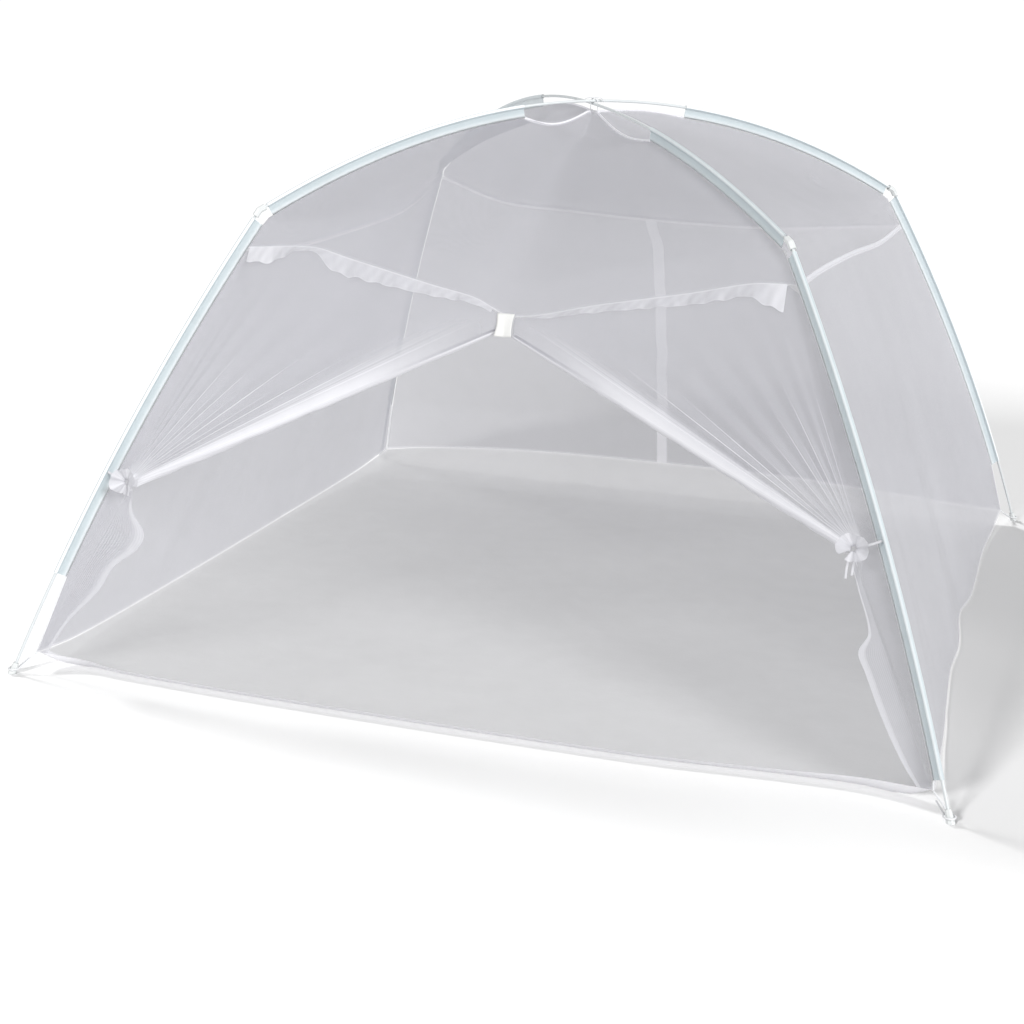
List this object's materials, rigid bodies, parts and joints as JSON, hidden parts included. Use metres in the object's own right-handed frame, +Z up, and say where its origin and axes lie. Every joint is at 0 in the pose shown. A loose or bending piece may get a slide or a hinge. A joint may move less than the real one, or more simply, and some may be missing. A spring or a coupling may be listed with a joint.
{
  "type": "mosquito net canopy with arched pole frame",
  "caption": "Free-standing square mosquito net canopy hung in crossed arched poles, with a net floor, a sagging doorway seam and both door halves tied back to the front poles.",
  "frame": {"origin": "on the ground under the crossing of the poles, in the middle of the base", "axes": "+X to the right along the doorway side seen from outside, +Y from the doorway to the back, +Z up"},
  "size_m": [2.4235, 2.4237, 1.4505],
  "materials": {
    "net": "fine woven net, translucent",
    "hem_tape": "matt woven tape and cord",
    "sleeve_fabric": "matt woven cloth",
    "pole": "coated glass-fibre rod",
    "plastic": "moulded, matt"
  },
  "bodies": {
    "root": {"pole_upper_a": "pole", "pole_upper_b": "pole", "pole_lower_front_left": "pole", "pole_lower_front_right": "pole", "pole_lower_back_right": "pole", "pole_lower_back_left": "pole", "elbow_front_left": "plastic", "elbow_front_right": "plastic", "elbow_back_right": "plastic", "elbow_back_left": "plastic", "foot_cap_front_left": "plastic", "foot_cap_front_right": "plastic", "foot_cap_back_right": "plastic", "foot_cap_back_left": "plastic", "sleeve_upper_front_left": "sleeve_fabric", "sleeve_upper_front_right": "sleeve_fabric", "sleeve_upper_back_right": "sleeve_fabric", "sleeve_upper_back_left": "sleeve_fabric", "sleeve_lower_front_left": "sleeve_fabric", "sleeve_lower_front_right": "sleeve_fabric", "sleeve_lower_back_right": "sleeve_fabric", "sleeve_lower_back_left": "sleeve_fabric", "corner_loop_front_left": "hem_tape", "corner_loop_front_right": "hem_tape", "corner_loop_back_right": "hem_tape", "corner_loop_back_left": "hem_tape", "crown_tape_front_left": "hem_tape", "crown_tape_front_right": "hem_tape", "crown_tape_back_right": "hem_tape", "crown_tape_back_left": "hem_tape", "apex_tie": "hem_tape", "roof_front": "net", "roof_right": "net", "roof_back": "net", "roof_left": "net", "wall_right": "net", "wall_back": "net", "wall_left": "net", "door_left": "net", "door_right": "net", "floor": "net", "valance_left": "net", "valance_right": "net", "centre_tab": "hem_tape", "tie_left": "hem_tape", "tie_right": "hem_tape", "seam_tape_right": "hem_tape", "seam_tape_back": "hem_tape", "seam_tape_left": "hem_tape", "back_band": "hem_tape"}
  },
  "joints": []
}
